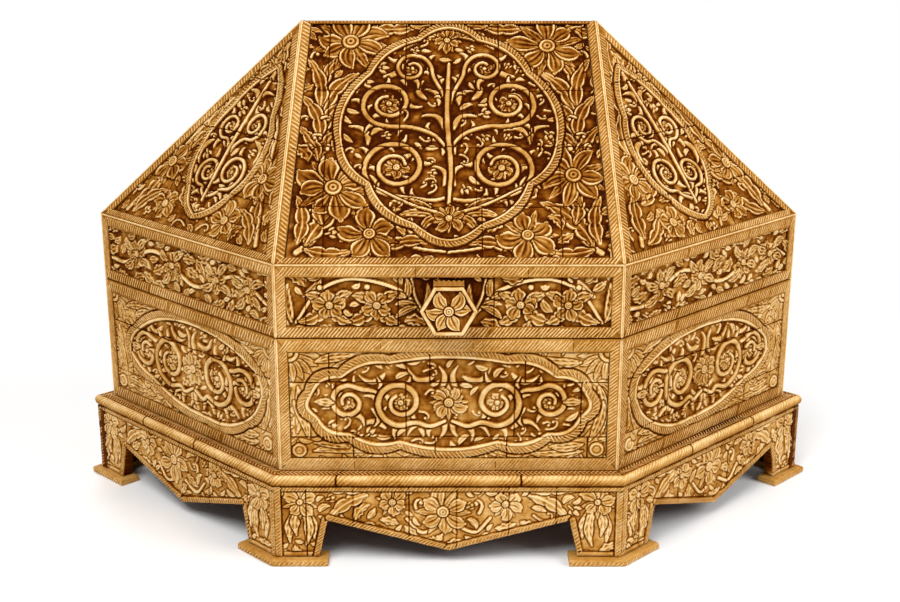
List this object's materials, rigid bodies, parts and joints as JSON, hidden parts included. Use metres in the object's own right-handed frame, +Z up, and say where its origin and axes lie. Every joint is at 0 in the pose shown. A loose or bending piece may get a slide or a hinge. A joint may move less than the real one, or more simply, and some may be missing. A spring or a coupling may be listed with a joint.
{
  "type": "bone casket",
  "caption": "Carved bone casket, six-sided, on bracket feet, with a hinged hip-roof lid and a rosette pull.",
  "frame": {"origin": "middle of the plan, on the surface that the feet stand on", "axes": "+X to the right along the front face, +Y to the back, +Z up; the front with the pull faces -Y"},
  "size_m": [0.443, 0.2557, 0.2769],
  "materials": {
    "carved_bone": "carved bone, stained honey brown in its recesses, satin",
    "hatched_bone": "bone strips cut with slanting hatch lines, stained, satin",
    "wood": "oiled hardwood",
    "brass": "aged brass",
    "iron": "dark pin"
  },
  "bodies": {
    "body": {"base_board": "hatched_bone", "apron_front": "carved_bone", "apron_front_right": "carved_bone", "apron_back_right": "carved_bone", "apron_back": "carved_bone", "apron_back_left": "carved_bone", "apron_front_left": "carved_bone", "foot_pad_front_right": "hatched_bone", "foot_pad_right": "hatched_bone", "foot_pad_back_right": "hatched_bone", "foot_pad_back_left": "hatched_bone", "foot_pad_left": "hatched_bone", "foot_pad_front_left": "hatched_bone", "body_carcass": "wood", "body_floor": "wood", "body_frame_front": "hatched_bone", "body_frame_front_right": "hatched_bone", "body_frame_back_right": "hatched_bone", "body_frame_back": "hatched_bone", "body_frame_back_left": "hatched_bone", "body_frame_front_left": "hatched_bone", "body_panel_front": "carved_bone", "body_panel_front_right": "carved_bone", "body_panel_back_right": "carved_bone", "body_panel_back": "carved_bone", "body_panel_back_left": "carved_bone", "body_panel_front_left": "carved_bone", "hinge_leaf_body": "brass", "hinge_pin": "brass", "hinge_screw_1": "brass", "hinge_screw_2": "brass", "hinge_screw_3": "brass", "hinge_screw_4": "brass"},
    "lid": {"lid_carcass": "wood", "lid_band_front": "carved_bone", "lid_band_front_right": "carved_bone", "lid_band_back_right": "carved_bone", "lid_band_back": "carved_bone", "lid_band_back_left": "carved_bone", "lid_band_front_left": "carved_bone", "roof_frame_front": "hatched_bone", "roof_frame_front_right": "hatched_bone", "roof_frame_back_right": "hatched_bone", "roof_frame_back": "hatched_bone", "roof_frame_back_left": "hatched_bone", "roof_frame_front_left": "hatched_bone", "roof_panel_front": "carved_bone", "roof_panel_front_right": "carved_bone", "roof_panel_back_right": "carved_bone", "roof_panel_back": "carved_bone", "roof_panel_back_left": "carved_bone", "roof_panel_front_left": "carved_bone", "knob_stem": "carved_bone", "knob_rosette": "carved_bone", "knob_pin": "iron", "hinge_leaf_lid": "brass", "hinge_screw_5": "brass", "hinge_screw_6": "brass", "hinge_screw_7": "brass", "hinge_screw_8": "brass"}
  },
  "joints": [
    {"name": "lid_hinge", "type": "hinge", "parent": "body", "child": "lid", "pos_m": [0, 0.118, 0.125], "axis": [-1, 0, 0], "range_deg": [0, 100]}
  ]
}
